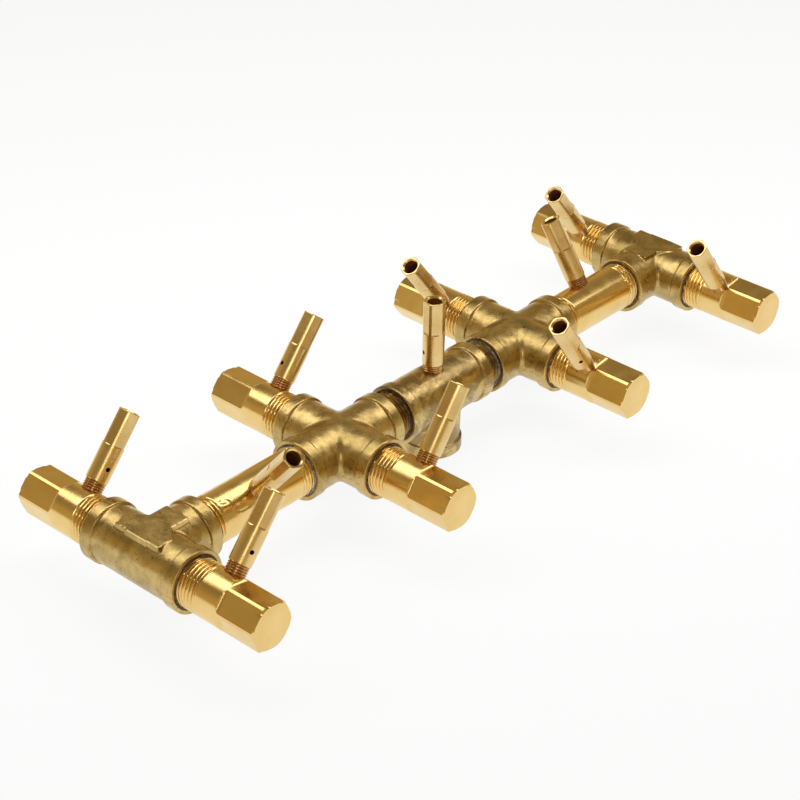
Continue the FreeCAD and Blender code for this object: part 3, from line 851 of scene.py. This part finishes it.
# %% Sealant beads
def sealant_mesh(name, centre, ports, seed, pale):
    """One bead per port; pale names the port whose paste dried grey."""
    draw = np.random.default_rng(seed)
    angles = np.linspace(0, 2 * math.pi, 96, endpoint=False)
    points, faces, shades = [], [], []
    for direction in ports:
        waves = sum(draw.normal(0, 0.12) * np.cos(k * angles + draw.uniform(0, 6.28))
                    for k in (1, 2, 3, 5, 8, 13))
        proud = np.clip(0.05 + waves, -0.6, 0.38)
        inner, outer = PIPE_R + 0.02, SOCKET_R + MOUTH_BEVEL * 0.6
        profile = [(REACH - 1.0, inner), (REACH + proud * 0.5 + 0.1, inner),
                   (REACH + proud, inner + 0.25), (REACH + proud * 0.6, inner + 0.55),
                   (REACH - 0.35, outer), (REACH - 1.0, outer - 0.5)]
        shades.append(1 if direction == pale else 0)
        side = Vector(direction).orthogonal().normalized()
        matrix = np.array(frame_matrix((0, 0, 0), direction, side).to_3x3())
        first = len(points)
        for x, radius in profile:
            points.extend(ring(x, radius, angles) @ matrix.T + centre)
        count, columns = len(profile), len(angles)
        for i in range(count):
            for j in range(columns):
                k = (j + 1) % columns
                a, b = first + i * columns, first + ((i + 1) % count) * columns
                faces.append((a + j, a + k, b + k, b + j))
    piece = make_object(name, points, faces, Matrix.Identity(4))
    piece.data.materials.append(BROWN_PASTE)
    piece.data.materials.append(GREY_PASTE)
    per_port = len(faces) // len(ports)
    for face in piece.data.polygons:
        face.material_index = shades[face.index // per_port]
    return piece


SEALED = {
    "front_tee": ((1, 0, 0), (0, 1, 0), (0, -1, 0)),
    "front_cross": ((1, 0, 0), (-1, 0, 0), (0, 1, 0), (0, -1, 0)),
    "centre_tee": ((1, 0, 0), (-1, 0, 0)),
    "rear_cross": ((1, 0, 0), (-1, 0, 0), (0, 1, 0), (0, -1, 0)),
    "rear_tee": ((-1, 0, 0), (0, 1, 0), (0, -1, 0)),
}
PALE_PORTS = {"front_cross": (-1, 0, 0), "centre_tee": (1, 0, 0), "rear_cross": (-1, 0, 0)}
for number, (station, ports) in enumerate(SEALED.items()):
    centre = np.array([fitting_centre_x(station), 0, SPINE_Z])
    piece = sealant_mesh("paste_" + station, centre, ports, 60 + number, PALE_PORTS.get(station))
    finish_piece(piece, BROWN_PASTE, "sealant", "sealant_" + station)
print("sealant placed:", len(SEALED))

# %% [markdown]
# ## Studio
#
# Brass shows the room around it. A bright floor lights the undersides, and a few
# large soft panels above give each bar one long highlight, with calm darker bands
# beside it where it mirrors the dim part of the room.

# %% Floor, lights and world
def emission_floor():
    material, tree, shader = new_material("pale_floor")
    shader.inputs["Base Color"].default_value = (0.2, 0.2, 0.2, 1)
    shader.inputs["Roughness"].default_value = 0.9
    shader.inputs["Specular IOR Level"].default_value = 0.1
    shader.inputs["Emission Color"].default_value = (0.96, 0.98, 1, 1)
    shader.inputs["Emission Strength"].default_value = 0.88
    return material


floor_mesh = bpy.data.meshes.new("floor")
floor_mesh.from_pydata([(-4, -4, 0), (4, -4, 0), (4, 4, 0), (-4, 4, 0)], [], [(0, 1, 2, 3)])
floor_mesh.materials.append(emission_floor())
floor = bpy.data.objects.new("floor", floor_mesh)
bpy.context.scene.collection.objects.link(floor)
floor.location.z = -0.0002


def panel_light(name, place, target, size, radiance, long_side):
    """A soft panel facing target, with its long side along the given direction."""
    light = bpy.data.lights.new(name, "AREA")
    light.shape = "RECTANGLE"
    light.size, light.size_y = size
    light.energy = radiance * math.pi * size[0] * size[1]
    lamp = bpy.data.objects.new(name, light)
    bpy.context.scene.collection.objects.link(lamp)
    place, target = Vector(place), Vector(target)
    back = (place - target).normalized()
    across = Vector(long_side)
    across = (across - back * across.dot(back)).normalized()
    turned = Matrix((across, back.cross(across), back)).transposed().to_4x4()
    lamp.matrix_world = Matrix.Translation(place) @ turned
    return lamp


# name, place, target, size, radiance, direction of the long side
panel_light("overhead_strip", (0.095, 0.065, 0.416), (0.08, 0.03, 0.03),
            (1.0, 0.2), 2.2, (0.753, -0.657, 0))
panel_light("window_panel", (-0.82, -0.70, 0.72), (0, 0, 0.03),
            (0.30, 0.5), 2.6, (0.662, -0.749, 0))

world = bpy.data.worlds.new("studio")
bpy.context.scene.world = world
world.use_nodes = True
sky = world.node_tree
direction = sky.nodes.new("ShaderNodeTexCoord")
split = sky.nodes.new("ShaderNodeSeparateXYZ")
ramp = sky.nodes.new("ShaderNodeValToRGB")
sky.links.new(direction.outputs["Generated"], split.inputs["Vector"])
sky.links.new(split.outputs["Z"], ramp.inputs["Fac"])
sky.links.new(ramp.outputs["Color"], sky.nodes["Background"].inputs["Color"])
ROOM = [(0.0, (0.48, 0.36, 0.15)), (0.3, (0.50, 0.37, 0.15)), (0.52, (0.33, 0.26, 0.14)),
        (0.68, (0.26, 0.20, 0.105)), (1.0, (0.23, 0.18, 0.10))]
for place, colour in ROOM[1:-1]:
    ramp.color_ramp.elements.new(place)
for element, (place, colour) in zip(ramp.color_ramp.elements, ROOM):
    element.position = place
    element.color = colour + (1.0,)
bpy.context.scene.view_settings.view_transform = "Standard"

# %% Camera
VIEW_AZIMUTH = math.radians(-48.562)
VIEW_ELEVATION = math.radians(31.785)
VIEW_ROLL = math.radians(1.10)
camera_place = Vector((-0.60725, -0.51755, 0.51632))
backward = Vector((
    math.sin(VIEW_AZIMUTH) * math.cos(VIEW_ELEVATION),
    -math.cos(VIEW_AZIMUTH) * math.cos(VIEW_ELEVATION),
    math.sin(VIEW_ELEVATION),
))
rightward = (-backward).cross(Vector((0, 0, 1))).normalized()
upward = backward.cross(rightward)
rolled_right = rightward * math.cos(VIEW_ROLL) + upward * math.sin(VIEW_ROLL)
rolled_up = upward * math.cos(VIEW_ROLL) - rightward * math.sin(VIEW_ROLL)
lens = bpy.data.cameras.new("camera")
lens.lens = 97.07
lens.sensor_width = 36
camera = bpy.data.objects.new("camera", lens)
bpy.context.scene.collection.objects.link(camera)
turned = Matrix((rolled_right, rolled_up, backward)).transposed().to_4x4()
camera.matrix_world = Matrix.Translation(camera_place) @ turned
bpy.context.scene.camera = camera
